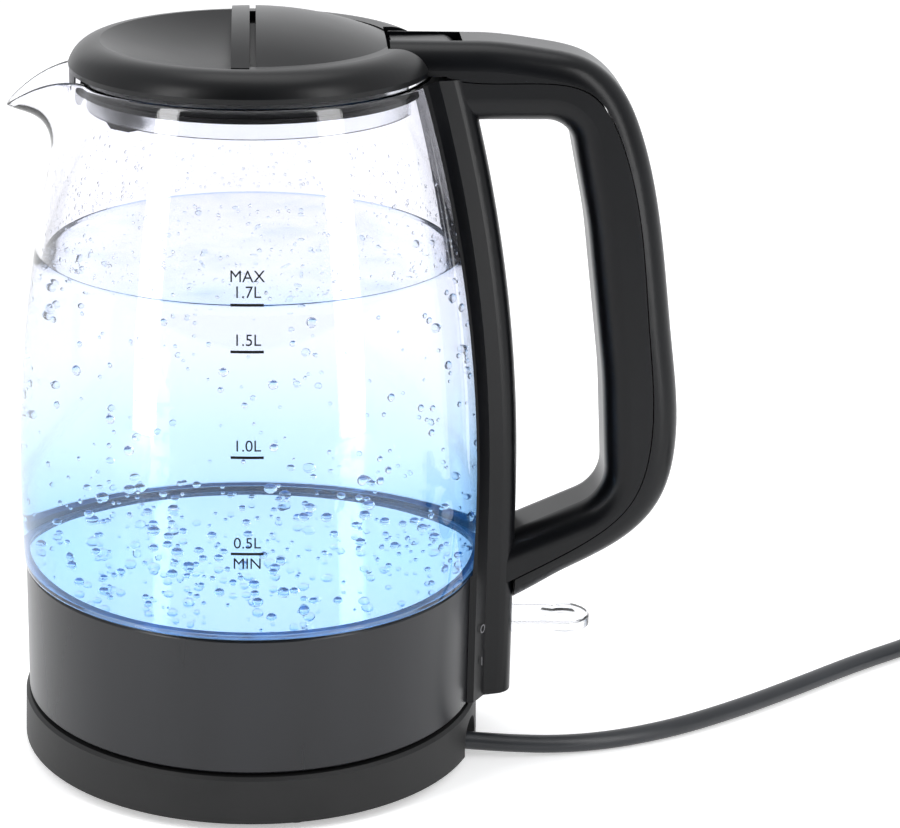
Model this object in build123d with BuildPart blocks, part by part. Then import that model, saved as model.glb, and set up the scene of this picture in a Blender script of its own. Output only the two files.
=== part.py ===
from build123d import *
import math
import os

os.makedirs("parts", exist_ok=True)

# Electric kettle with a glass jug, a cordless power base and a side handle. Millimetres.
# The origin is on the jug's axis at table level. +Z is up, +X points to the handle, -X to the spout.

# --- driving dimensions -------------------------------------------------------------------
WALL = 2.2
RUNNING_GAP = 0.05

BASE_R = 75.0
BASE_BOTTOM = 3.0
BASE_TOP = 18.5
COVER_BOTTOM = 2.6
COVER_THICKNESS = 1.8
FOOT_R = 4.3
FOOT_CIRCLE_R = 66.5
HUB_R = 19.8
HUB_TOP = 26.0

COLLAR_R = 74.0
COLLAR_BOTTOM = 19.6
COLLAR_TOP = 64.3
PLATE_TOP = 62.6

GLASS_WALL = 2.8
GLASS_BELLY_R = 75.3
GLASS_BELLY_Z = 89.0
GLASS_SAG = 0.00101
GLASS_NECK_R = 71.5
GLASS_BOTTOM = 57.2
GLASS_RIM = 225.5

COLUMN_DEPTH = 10.5
COLUMN_BOTTOM = 19.8
COLUMN_TOP = 225.4
HANDLE_HALF_WIDTH = 14.5
HANDLE_ROUNDING = 8.0
SEAM_GAP = 0.35

LID_R = 56.6
LID_BOTTOM = 226.9
LID_RIM_TOP = 235.6
LID_DOME_TOP = 243.8
LID_DISH_R = 47.0
LID_DISH_DEPTH = 9.0
LID_CAP_R = 43.5
BAR_X = (-6.0, -0.5)
CAP_X = 1.4

HINGE_X = 59.5
HINGE_Z = 230.8
HINGE_PIN_R = 1.5
HINGE_EYE_R = 4.6
HINGE_ARM_HALF_WIDTH = 6.6
SHROUD_FRONT = 42.6
SHROUD_HALF_WIDTH = 16.6

LEVER_PIVOT_X = 78.0
LEVER_PIVOT_Z = 41.0
LEVER_TIP_X = 112.4
LEVER_HALF_WIDTH = 9.0
LEVER_THICKNESS = 4.0
ROCKER_PIVOT_X = 61.5

CORD_R = 3.0
CORD_FLOOR_Z = 3.05
COIL_CENTRE = (288.2, 53.6)
COIL_MID_R = 33.0


def glass_radius(z):
    """Outer radius of the jug: a parabola with its belly at GLASS_BELLY_Z."""
    return GLASS_BELLY_R - GLASS_SAG * (z - GLASS_BELLY_Z) ** 2


def jug_curve(z_low, z_high, offset):
    """The three Bezier poles of the jug's parabola between two heights, moved out by offset."""
    slope = -2.0 * GLASS_SAG * (z_low - GLASS_BELLY_Z)
    half = (z_high - z_low) / 2.0
    middle_r = glass_radius(z_low) + slope * half
    return (
        (glass_radius(z_low) + offset, z_low),
        (middle_r + offset, z_low + half),
        (glass_radius(z_high) + offset, z_high),
    )


# --- power base ---------------------------------------------------------------------------
CORD_Y = -21.4
CORD_HOLE_R = 7.0
SCREW_CIRCLE_R = 45.0
SCREW_R = 1.5

with BuildPart() as base_housing:
    with BuildSketch(Plane.XZ):
        with BuildLine():
            Polyline(
                (BASE_R - WALL, BASE_BOTTOM),
                (BASE_R + 0.6, BASE_BOTTOM),
                (BASE_R + 0.2, BASE_TOP - 1.0),
                (BASE_R - 0.8, BASE_TOP),
                (HUB_R + 0.4, BASE_TOP),
                (HUB_R + 0.4, BASE_TOP - WALL),
                (BASE_R - WALL, BASE_TOP - WALL),
                close=True,
            )
        make_face()
    revolve(axis=Axis.Z)
    with BuildSketch(Plane.XY.offset(COVER_BOTTOM + COVER_THICKNESS + 0.1)):
        with PolarLocations(SCREW_CIRCLE_R, 3, start_angle=30):
            Circle(3.6)
            Circle(SCREW_R + RUNNING_GAP, mode=Mode.SUBTRACT)
    extrude(until=Until.NEXT)
    with BuildSketch(Plane.YZ.offset(55)):
        with Locations((CORD_Y, CORD_HOLE_R)):
            Circle(CORD_HOLE_R)
        with Locations((CORD_Y, CORD_HOLE_R / 2)):
            Rectangle(2 * CORD_HOLE_R, CORD_HOLE_R)
    extrude(amount=30, mode=Mode.SUBTRACT)
base_housing.part.label = "base_housing"
export_step(base_housing.part, "parts/base_housing.step")

with BuildPart() as base_bottom_cover:
    with BuildSketch(Plane.XY.offset(COVER_BOTTOM)):
        Circle(BASE_R - WALL - 0.3)
        with PolarLocations(SCREW_CIRCLE_R, 3, start_angle=30):
            Circle(SCREW_R + RUNNING_GAP, mode=Mode.SUBTRACT)
        with Locations((70, CORD_Y)):
            Rectangle(40, 2 * CORD_HOLE_R, mode=Mode.SUBTRACT)
    extrude(amount=COVER_THICKNESS)
base_bottom_cover.part.label = "base_bottom_cover"
export_step(base_bottom_cover.part, "parts/base_bottom_cover.step")

with BuildPart() as base_feet:
    with BuildSketch():
        with PolarLocations(FOOT_CIRCLE_R, 6, start_angle=42):
            Circle(FOOT_R)
    extrude(amount=COVER_BOTTOM)
    fillet(base_feet.edges().group_by(Axis.Z)[0], 0.7)
base_feet.part.label = "base_feet"
export_step(base_feet.part, "parts/base_feet.step")

with BuildPart() as base_screws:
    with BuildSketch(Plane.XY.offset(COVER_BOTTOM - 1.3)):
        with PolarLocations(SCREW_CIRCLE_R, 3, start_angle=30):
            Circle(2.9)
    extrude(amount=1.3)
    with BuildSketch(Plane.XY.offset(COVER_BOTTOM)):
        with PolarLocations(SCREW_CIRCLE_R, 3, start_angle=30):
            Circle(SCREW_R)
    extrude(amount=10)
    chamfer(base_screws.edges().group_by(Axis.Z)[0], 0.4)
base_screws.part.label = "base_screws"
export_step(base_screws.part, "parts/base_screws.step")

with BuildPart() as base_connector_hub:
    with BuildSketch(Plane.XZ):
        with BuildLine():
            Polyline(
                (0, 13.0),
                (27.0, 13.0),
                (27.0, BASE_TOP - WALL - 0.1),
                (HUB_R, BASE_TOP - WALL - 0.1),
                (HUB_R, BASE_TOP + 3.0),
                (HUB_R - 2.2, HUB_TOP),
                (14.6, HUB_TOP),
                (14.6, 20.0),
                (12.4, 20.0),
                (12.4, HUB_TOP),
                (6.0, HUB_TOP),
                (6.0, 17.0),
                (0, 17.0),
                close=True,
            )
        make_face()
    revolve(axis=Axis.Z)
base_connector_hub.part.label = "base_connector_hub"
export_step(base_connector_hub.part, "parts/base_connector_hub.step")

with BuildPart() as base_contact_rings:
    with BuildSketch(Plane.XY.offset(20.0)):
        Circle(14.1)
        Circle(12.9, mode=Mode.SUBTRACT)
    extrude(amount=HUB_TOP + 1.4 - 20.0)
    with BuildSketch(Plane.XY.offset(17.0)):
        Circle(2.4)
    extrude(amount=HUB_TOP + 1.4 - 17.0)
    fillet(base_contact_rings.edges().group_by(Axis.Z)[-1], 0.4)
base_contact_rings.part.label = "base_contact_rings"
export_step(base_contact_rings.part, "parts/base_contact_rings.step")

# --- power cord, coil and plug --------------------------------------------------------------
CORD_START_X = 64.0
CORD_START_Z = 6.4

with BuildPart() as cord_gland:
    with BuildSketch(Plane.YZ.offset(CORD_START_X)):
        with Locations((CORD_Y, CORD_START_Z + 2.6)):
            RectangleRounded(11.0, 10.4, 2.0)
    extrude(amount=-13.0)
cord_gland.part.label = "cord_gland"
export_step(cord_gland.part, "parts/cord_gland.step")

cord_route = [
    (CORD_START_X, CORD_Y, CORD_START_Z),
    (87.0, -20.9, 3.9),
    (112.0, -18.2, CORD_FLOOR_Z),
    (138.0, -8.6, CORD_FLOOR_Z),
    (163.5, 7.2, CORD_FLOOR_Z),
    (190.0, 27.2, CORD_FLOOR_Z),
    (213.0, 45.6, CORD_FLOOR_Z),
    (236.0, 61.4, CORD_FLOOR_Z),
    (253.0, 75.0, CORD_FLOOR_Z),
    (268.0, 83.6, CORD_FLOOR_Z),
]

tail_route = [
    (321.0, 69.0, CORD_FLOOR_Z),
    (325.0, 57.5, 4.6),
    (328.5, 45.5, 8.6),
    (331.0, 33.0, 14.2),
]


def bend_radii(route):
    """The radius of the arc at each inner point: as large as its two straight runs allow."""
    points = [Vector(*p) for p in route]
    radii = []
    for before, here, after in zip(points, points[1:], points[2:]):
        first = here - before
        second = after - here
        turn = math.radians(first.get_angle(second))
        radii.append(0.45 * min(first.length, second.length) / math.tan(turn / 2.0))
    return radii


cord_radii = bend_radii(cord_route)
print("cord bend radii", [round(r, 1) for r in cord_radii])

with BuildPart() as power_cord:
    with BuildLine() as cord_line:
        FilletPolyline(*cord_route, radius=cord_radii)
    cord_wire = cord_line.wires()[0]
    with BuildSketch(Plane(cord_wire @ 0, z_dir=cord_wire % 0)):
        Circle(CORD_R)
    sweep(path=cord_wire)
power_cord.part.label = "power_cord"
export_step(power_cord.part, "parts/power_cord.step")
cord_section = math.pi * CORD_R**2
print("cord volume", round(power_cord.part.volume), "against", round(cord_section * cord_wire.length))

tail_radii = bend_radii(tail_route)
print("tail bend radii", [round(r, 1) for r in tail_radii])

with BuildPart() as power_cord_tail:
    with BuildLine() as tail_line:
        FilletPolyline(*tail_route, radius=tail_radii)
    tail_wire = tail_line.wires()[0]
    with BuildSketch(Plane(tail_wire @ 0, z_dir=tail_wire % 0)):
        Circle(CORD_R)
    sweep(path=tail_wire)
power_cord_tail.part.label = "power_cord_tail"
export_step(power_cord_tail.part, "parts/power_cord_tail.step")
print("tail volume", round(power_cord_tail.part.volume), "against", round(cord_section * tail_wire.length))

with BuildPart() as power_cord_coil:
    with BuildSketch(Plane.XZ.offset(-COIL_CENTRE[1])):
        with Locations((COIL_CENTRE[0] + COIL_MID_R, 6.1)):
            RectangleRounded(12.4, 12.0, 2.9)
    revolve(axis=Axis((COIL_CENTRE[0], COIL_CENTRE[1], 0), (0, 0, 1)))
power_cord_coil.part.label = "power_cord_coil"
export_step(power_cord_coil.part, "parts/power_cord_coil.step")

# The plug lies on its round side beside the coil: a strain relief, a body and two pins.
PLUG_BODY_R = 18.5
PLUG_BODY_LENGTH = 34.0
PLUG_RELIEF_LENGTH = 28.0
tail_end = Vector(*tail_route[-1])
plug_direction = Vector(0.14, -0.99, 0.0).normalized()
relief_plane = Plane(tail_end, z_dir=tail_wire % 1)
plug_rear = tail_end + plug_direction * PLUG_RELIEF_LENGTH
body_origin = Vector(plug_rear.X, plug_rear.Y, PLUG_BODY_R + 0.1)
body_plane = Plane(body_origin, x_dir=(0.99, 0.14, 0), z_dir=plug_direction)

with BuildPart() as plug_strain_relief:
    with BuildSketch(relief_plane):
        Circle(4.3)
    with BuildSketch(body_plane.offset(0.0)):
        Circle(7.2)
    loft()
plug_strain_relief.part.label = "plug_strain_relief"
export_step(plug_strain_relief.part, "parts/plug_strain_relief.step")

with BuildPart() as plug_body:
    with BuildSketch(body_plane):
        Circle(12.0)
    with BuildSketch(body_plane.offset(14.0)):
        Circle(PLUG_BODY_R)
    loft()
    with BuildSketch(body_plane.offset(14.0)):
        Circle(PLUG_BODY_R)
    extrude(amount=PLUG_BODY_LENGTH - 14.0)
    with BuildSketch(body_plane.offset(14.0)):
        with Locations((PLUG_BODY_R + 0.3, 0), (-PLUG_BODY_R - 0.3, 0)):
            Rectangle(4.4, 8.0)
    extrude(amount=PLUG_BODY_LENGTH - 14.0, mode=Mode.SUBTRACT)
    with BuildSketch(body_plane.offset(PLUG_BODY_LENGTH)):
        with Locations((0, 9.5), (0, -9.5)):
            Circle(2.4)
    extrude(amount=-8.0, mode=Mode.SUBTRACT)
plug_body.part.label = "plug_body"
export_step(plug_body.part, "parts/plug_body.step")

with BuildPart() as plug_pins:
    with BuildSketch(body_plane.offset(PLUG_BODY_LENGTH - 8.0)):
        with Locations((0, 9.5), (0, -9.5)):
            Circle(2.35)
    extrude(amount=27.0)
    fillet(plug_pins.edges().filter_by(GeomType.CIRCLE).sort_by(Axis(body_origin, plug_direction))[-2:], 1.2)
plug_pins.part.label = "plug_pins"
export_step(plug_pins.part, "parts/plug_pins.step")

with BuildPart() as plug_earth_clips:
    with BuildSketch(body_plane.offset(17.0)):
        with Locations((PLUG_BODY_R - 1.3, 0), (-PLUG_BODY_R + 1.3, 0)):
            Rectangle(1.2, 5.0)
    extrude(amount=PLUG_BODY_LENGTH - 17.0)
plug_earth_clips.part.label = "plug_earth_clips"
export_step(plug_earth_clips.part, "parts/plug_earth_clips.step")

# --- kettle-side connector: round, so the kettle can stand at any angle ---------------------
with BuildPart() as connector_ring:
    with BuildSketch(Plane.XZ):
        with BuildLine():
            Polyline(
                (0, 29.6),
                (20.6, 29.6),
                (20.6, 20.6),
                (24.0, 20.6),
                (24.0, 32.0),
                (0, 32.0),
                close=True,
            )
        make_face()
    revolve(axis=Axis.Z)
connector_ring.part.label = "connector_ring"
export_step(connector_ring.part, "parts/connector_ring.step")

with BuildPart() as connector_contacts:
    with BuildSketch(Plane.XY.offset(28.2)):
        Circle(1.8)
        with PolarLocations(13.5, 3):
            Circle(1.4)
    extrude(amount=1.4)
connector_contacts.part.label = "connector_contacts"
export_step(connector_contacts.part, "parts/connector_contacts.step")

# --- collar, underside and heater -------------------------------------------------------------
UNDERSIDE_SCREW_CIRCLE_R = 56.0
COLLAR_WINDOW_Z = (35.0, 55.0)
HANDLE_SCREW_Z = 28.5

with BuildPart() as collar_shell:
    with BuildSketch(Plane.XZ):
        with BuildLine():
            Polyline(
                (COLLAR_R - 3.6, COLLAR_BOTTOM),
                (COLLAR_R - 0.5, COLLAR_BOTTOM),
                (COLLAR_R, COLLAR_BOTTOM + 0.6),
                (COLLAR_R, COLLAR_TOP - 0.6),
                (COLLAR_R - 0.5, COLLAR_TOP),
                (COLLAR_R - WALL, COLLAR_TOP),
                (COLLAR_R - WALL, COLLAR_BOTTOM + 0.9),
                (COLLAR_R - 3.6, COLLAR_BOTTOM + 0.9),
                close=True,
            )
        make_face()
    revolve(axis=Axis.Z)
    with BuildSketch(Plane.YZ.offset(60)):
        with Locations((0, sum(COLLAR_WINDOW_Z) / 2)):
            Rectangle(18.0, COLLAR_WINDOW_Z[1] - COLLAR_WINDOW_Z[0])
        with Locations((0, HANDLE_SCREW_Z)):
            Circle(SCREW_R + RUNNING_GAP)
    extrude(amount=20, mode=Mode.SUBTRACT)
collar_shell.part.label = "collar_shell"
export_step(collar_shell.part, "parts/collar_shell.step")

with BuildPart() as underside_cover:
    with BuildSketch(Plane.XY.offset(20.7)):
        Circle(COLLAR_R - WALL - 0.2)
        Circle(24.6, mode=Mode.SUBTRACT)
        with PolarLocations(UNDERSIDE_SCREW_CIRCLE_R, 3, start_angle=60):
            Circle(SCREW_R + RUNNING_GAP, mode=Mode.SUBTRACT)
    extrude(amount=2.0)
    with BuildSketch(Plane.XY.offset(22.7)):
        Circle(26.4)
        Circle(24.6, mode=Mode.SUBTRACT)
    extrude(amount=11.0)
underside_cover.part.label = "underside_cover"
export_step(underside_cover.part, "parts/underside_cover.step")

with BuildPart() as underside_screws:
    with BuildSketch(Plane.XY.offset(19.7)):
        with PolarLocations(UNDERSIDE_SCREW_CIRCLE_R, 3, start_angle=60):
            Circle(2.7)
    extrude(amount=1.0)
    with BuildSketch(Plane.XY.offset(20.7)):
        with PolarLocations(UNDERSIDE_SCREW_CIRCLE_R, 3, start_angle=60):
            Circle(SCREW_R)
    extrude(amount=12.0)
underside_screws.part.label = "underside_screws"
export_step(underside_screws.part, "parts/underside_screws.step")

PLATE_THICKNESS = 0.8
PLATE_STEP_R = (40.0, 44.0)

with BuildPart() as heater_plate:
    with BuildSketch(Plane.XZ):
        with BuildLine():
            Polyline(
                (0, PLATE_TOP),
                (PLATE_STEP_R[0], PLATE_TOP),
                (PLATE_STEP_R[0] + 1.0, PLATE_TOP + 1.0),
                (PLATE_STEP_R[1], PLATE_TOP + 1.0),
                (PLATE_STEP_R[1] + 1.0, PLATE_TOP),
                (66.4, PLATE_TOP),
                (67.8, PLATE_TOP - 1.2),
                (67.8, 57.6),
                (67.0, 57.6),
                (67.0, PLATE_TOP - 1.6),
                (66.0, PLATE_TOP - PLATE_THICKNESS),
                (PLATE_STEP_R[1] + 0.7, PLATE_TOP - PLATE_THICKNESS),
                (PLATE_STEP_R[1] - 0.3, PLATE_TOP + 1.0 - PLATE_THICKNESS),
                (PLATE_STEP_R[0] + 1.3, PLATE_TOP + 1.0 - PLATE_THICKNESS),
                (PLATE_STEP_R[0] + 0.3, PLATE_TOP - PLATE_THICKNESS),
                (0, PLATE_TOP - PLATE_THICKNESS),
                close=True,
            )
        make_face()
    revolve(axis=Axis.Z)
heater_plate.part.label = "heater_plate"
export_step(heater_plate.part, "parts/heater_plate.step")

with BuildPart() as heat_spreader:
    with BuildSketch(Plane.XY.offset(58.9)):
        Circle(39.5)
    extrude(amount=2.8)
    fillet(heat_spreader.edges().group_by(Axis.Z)[0], 1.0)
heat_spreader.part.label = "heat_spreader"
export_step(heat_spreader.part, "parts/heat_spreader.step")

ELEMENT_CIRCLE_R = 33.0
ELEMENT_TUBE_R = 3.3

with BuildPart() as heating_element:
    with BuildSketch(Plane.XZ.rotated((0, 0, 30))):
        with Locations((ELEMENT_CIRCLE_R, 55.5)):
            Circle(ELEMENT_TUBE_R)
    revolve(axis=Axis.Z, revolution_arc=300)
heating_element.part.label = "heating_element"
export_step(heating_element.part, "parts/heating_element.step")

with BuildPart() as glass_seal:
    with BuildSketch(Plane.XZ):
        with BuildLine():
            Polyline(
                (67.9, 57.6),
                (68.6, 57.6),
                (68.6, 64.2),
                (66.6, 65.0),
                (66.6, 63.0),
                (67.9, 62.4),
                close=True,
            )
        make_face()
    revolve(axis=Axis.Z)
glass_seal.part.label = "glass_seal"
export_step(glass_seal.part, "parts/glass_seal.step")

with BuildPart() as led_board:
    with BuildSketch(Plane.XY.offset(51.0)):
        Circle(66.5)
        Circle(55.0, mode=Mode.SUBTRACT)
    extrude(amount=1.6)
led_board.part.label = "led_board"
export_step(led_board.part, "parts/led_board.step")

with BuildPart() as leds:
    with BuildSketch(Plane.XY.offset(52.6)):
        with PolarLocations(61.0, 8, start_angle=22.5):
            Circle(2.5)
    extrude(amount=5.4)
    fillet(leds.edges().group_by(Axis.Z)[-1], 2.3)
leds.part.label = "leds"
export_step(leds.part, "parts/leds.step")

with BuildPart() as control_unit:
    with BuildSketch(Plane.XY.offset(34.2)):
        Circle(27.0)
        with Locations((38, 0)):
            Rectangle(36, 24)
    extrude(amount=13.0)
    fillet(control_unit.edges().filter_by(Axis.Z), 2.0)
    with BuildSketch(Plane.XY.offset(34.2)):
        with Locations((61, 0)):
            Rectangle(20, 11.6)
    extrude(amount=13.0, mode=Mode.SUBTRACT)
    with BuildSketch(Plane.XY.offset(37.0)):
        with Locations((59.5, 7.4), (59.5, -7.4)):
            Rectangle(9.0, 3.0)
    extrude(amount=8.0)
    with BuildSketch(Plane.XZ.offset(-20)):
        with Locations((ROCKER_PIVOT_X, LEVER_PIVOT_Z)):
            Circle(1.2 + RUNNING_GAP)
    extrude(amount=40, mode=Mode.SUBTRACT)
control_unit.part.label = "control_unit"
export_step(control_unit.part, "parts/control_unit.step")

with BuildPart() as bimetal_disc:
    with BuildSketch(Plane.XY.offset(49.2)):
        Circle(9.5)
    extrude(amount=0.5)
bimetal_disc.part.label = "bimetal_disc"
export_step(bimetal_disc.part, "parts/bimetal_disc.step")

with BuildPart() as internal_wires:
    for side in (-1, 1):
        with BuildLine() as wire_line:
            FilletPolyline(
                (20.0, side * 6.0, 47.3),
                (20.0, side * 6.0, 52.5),
                (38.0, side * 24.0, 48.6),
                (50.0, side * 28.0, 48.6),
                radius=1.8,
            )
        wire_path = wire_line.wires()[0]
        with BuildSketch(Plane(wire_path @ 0, z_dir=wire_path % 0)):
            Circle(0.9)
        sweep(path=wire_path)
internal_wires.part.label = "internal_wires"
export_step(internal_wires.part, "parts/internal_wires.step")

# --- glass jug ----------------------------------------------------------------------------
# The spout is drawn out of the wall: half-ellipses across X that shrink towards the tip.
# Each row: distance from the axis, half width, depth below the rim, height of the rim.
spout_sections = (
    (50.0, 24.0, 33.0, 225.5),
    (57.5, 20.0, 24.0, 225.3),
    (64.0, 13.5, 13.2, 223.4),
    (70.0, 10.0, 7.6, 220.3),
    (74.0, 6.6, 4.4, 217.4),
    (76.8, 2.9, 2.4, 215.2),
)


def spout_horn(inset):
    """Solid of the spout's full ellipses, each one smaller than the outer form by inset."""
    with BuildPart() as horn:
        for reach, half_width, depth, rim in spout_sections:
            with BuildSketch(Plane((-reach, 0, rim), x_dir=(0, 1, 0), z_dir=(-1, 0, 0))):
                Ellipse(half_width - inset, depth - inset)
        loft()
    return horn.part


def jug_solid(offset, low, high):
    """Solid of revolution inside the jug's parabola moved out by offset."""
    poles = jug_curve(low, high, offset)
    with BuildPart() as body:
        with BuildSketch(Plane.XZ):
            with BuildLine():
                Bezier(*poles)
                Polyline(poles[2], (0, high), (0, low), poles[0])
            make_face()
        revolve(axis=Axis.Z)
    return body.part


SHOULDER_Z = COLLAR_TOP + 0.4
horn_outer = spout_horn(0.0)
horn_inner = spout_horn(2.0)
jug_outer = jug_solid(0.0, SHOULDER_Z, GLASS_RIM)
jug_inner = jug_solid(-GLASS_WALL, SHOULDER_Z - 8.0, GLASS_RIM + 3.0)

with BuildPart() as glass_jug:
    add(jug_outer)
    add(horn_outer)
    with BuildSketch(Plane.XY.offset(GLASS_BOTTOM)):
        Circle(GLASS_NECK_R)
    extrude(amount=SHOULDER_Z - GLASS_BOTTOM)
    add(jug_inner, mode=Mode.SUBTRACT)
    add(horn_inner, mode=Mode.SUBTRACT)
    with BuildSketch(Plane.XY.offset(GLASS_BOTTOM)):
        Circle(GLASS_NECK_R - GLASS_WALL)
    extrude(amount=SHOULDER_Z + 2.0 - GLASS_BOTTOM, mode=Mode.SUBTRACT)
    with BuildSketch(Plane.XZ):
        with BuildLine():
            Spline((-56.0, GLASS_RIM), (-64.0, 223.4), (-70.0, 220.3), (-76.8, 215.2), (-82.0, 211.0))
            Polyline((-82.0, 211.0), (-90.0, 270.0), (90.0, 270.0), (90.0, GLASS_RIM), (-56.0, GLASS_RIM))
        make_face()
    extrude(amount=90, both=True, mode=Mode.SUBTRACT)
jug_wall = glass_jug.solids().sort_by(SortBy.VOLUME)[-1]
glass_jug.part = Part(jug_wall.wrapped)
glass_jug.part.label = "glass_jug"
export_step(glass_jug.part, "parts/glass_jug.step")

# --- handle -------------------------------------------------------------------------------
# The column follows the jug: upright beside the collar, then along the parabola.
column_poles = jug_curve(GLASS_BELLY_Z, COLUMN_TOP + 8.0, COLUMN_DEPTH)
column_face_x = GLASS_BELLY_R + COLUMN_DEPTH


def column_path():
    """Outer face of the column in the XZ plane, from its foot to its top."""
    with BuildLine(Plane.XZ) as path:
        Line((column_face_x, COLUMN_BOTTOM), column_poles[0])
        Bezier(*column_poles)
    return path.wires()[0]


def column_sweep(outline, rounding):
    """Sweeps a plan outline, given from the outer face, along the column."""
    with BuildPart() as column:
        with BuildSketch(Plane((column_face_x, 0, COLUMN_BOTTOM), x_dir=(1, 0, 0), z_dir=(0, 0, 1))) as plan:
            with BuildLine():
                Polyline(*outline, close=True)
            make_face()
            if rounding:
                fillet(plan.vertices().sort_by(Axis.X)[-2:], rounding)
        sweep(path=column_path())
        split(bisect_by=Plane.XY.offset(COLUMN_TOP), keep=Keep.BOTTOM)
    return column.part


column_outline = [
    (-18.0, -22.6),
    (-13.0, -22.6),
    (-9.3, -16.6),
    (0.0, -14.2),
    (0.0, 14.2),
    (-9.3, 16.6),
    (-13.0, 22.6),
    (-18.0, 22.6),
]
column_cavity_outline = [(-7.9, -9.5), (-2.5, -9.5), (-2.5, 9.5), (-7.9, 9.5)]

column_solid = column_sweep(column_outline, 6.5)
column_cavity = column_sweep(column_cavity_outline, 0)

with BuildPart() as jug_clearance:
    add(jug_solid(0.15, SHOULDER_Z, GLASS_RIM + 0.5))
    with BuildSketch(Plane.XY.offset(COLUMN_BOTTOM - 1.0)):
        Circle(COLLAR_R + 0.1)
    extrude(amount=SHOULDER_Z + 2.0 - COLUMN_BOTTOM)

# Side outline of the C-shaped loop: shroud over the lid hinge, grip and lower arm.
loop_outer = [
    (70.0, 236.0),
    (90.0, 233.8),
    (104.5, 230.0),
    (114.0, 222.0),
    (121.0, 208.5),
    (127.6, 184.0),
    (134.0, 140.0),
    (137.0, 105.0),
    (132.6, 85.5),
    (119.0, 70.6),
    (101.0, 60.4),
    (84.0, 50.4),
]
grip_opening = [
    (79.0, 71.6),
    (115.0, 87.8),
    (112.5, 127.0),
    (105.9, 178.0),
    (98.9, 211.4),
    (60.0, 211.4),
]
grip_corner_radii = [13.0, 160.0, 140.0, 9.0]
shroud_floor = GLASS_RIM + 0.9


def is_grip_edge(edge):
    """True for the outline's outer curve and for the edges around the finger opening."""
    middle = edge.center()
    return edge.length > 200 or (74 < middle.Z < 212 and middle.X > 70)


with BuildPart() as handle_loop:
    with BuildSketch(Plane.XZ):
        with BuildLine():
            Line((SHROUD_FRONT, 236.3), loop_outer[0])
            Spline(*loop_outer, tangents=[(27.4, -0.3), (-1, -0.55)])
            Polyline(loop_outer[-1], (79.0, 47.6), grip_opening[0])
            FilletPolyline(*grip_opening, radius=grip_corner_radii)
            Polyline(
                grip_opening[-1],
                (60.0, shroud_floor),
                (SHROUD_FRONT, shroud_floor),
                (SHROUD_FRONT, 236.3),
            )
        make_face()
    extrude(amount=HANDLE_HALF_WIDTH, both=True)
    side_faces = handle_loop.faces().sort_by(Axis.Y)
    side_edges = side_faces[0].edges() + side_faces[-1].edges()
    fillet(side_edges.filter_by(is_grip_edge), HANDLE_ROUNDING)

seam_line = [
    (60.0, 225.6),
    (86.0, 224.0),
    (104.5, 220.4),
    (114.6, 205.0),
    (125.6, 145.0),
    (128.0, 107.0),
    (122.4, 86.4),
    (107.5, 72.6),
    (80.0, 57.0),
]


def beyond_seam(gap):
    """Block on the outer side of the handle's seam, moved away from it by gap."""
    line = [(x + gap * 0.6, z + gap) for x, z in seam_line[:3]]
    line += [(x + gap, z) for x, z in seam_line[3:7]]
    line += [(x + gap * 0.5, z - gap) for x, z in seam_line[7:]]
    with BuildPart() as block:
        with BuildSketch(Plane.XZ):
            with BuildLine():
                Line((30.0, line[0][1]), line[0])
                Spline(*line)
                Polyline(line[-1], (70.0, 30.0), (170.0, 30.0), (170.0, 270.0), (30.0, 270.0), (30.0, line[0][1]))
            make_face()
        extrude(amount=40, both=True)
    return block.part


outer_side = beyond_seam(SEAM_GAP)
inner_side = beyond_seam(0.0)

# The shroud's two cheeks hold the lid's hinge pin.
SLOT_HALF_WIDTH = HINGE_ARM_HALF_WIDTH + 0.4

with BuildPart() as handle_outer_shell:
    add(handle_loop.part)
    add(outer_side, mode=Mode.INTERSECT)
    add(column_solid, mode=Mode.SUBTRACT)
    with BuildSketch(Plane.XY.offset(GLASS_RIM)):
        with Locations((53.0, 0)):
            Rectangle(24.0, 2 * SLOT_HALF_WIDTH)
    extrude(amount=20, mode=Mode.SUBTRACT)
    with BuildSketch(Plane.XZ):
        with Locations((HINGE_X, HINGE_Z)):
            Circle(HINGE_PIN_R)
    extrude(amount=12.5, both=True, mode=Mode.SUBTRACT)
    with BuildSketch(Plane.XY.offset(30)):
        with Locations((column_face_x - 9.8, 0)):
            Rectangle(20.0, 60.0)
    extrude(amount=60, mode=Mode.SUBTRACT)
    add(jug_clearance.part, mode=Mode.SUBTRACT)
handle_outer_shell.part.label = "handle_outer_shell"
export_step(handle_outer_shell.part, "parts/handle_outer_shell.step")

LEVER_SLOT_Z = (34.6, 45.8)

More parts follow.
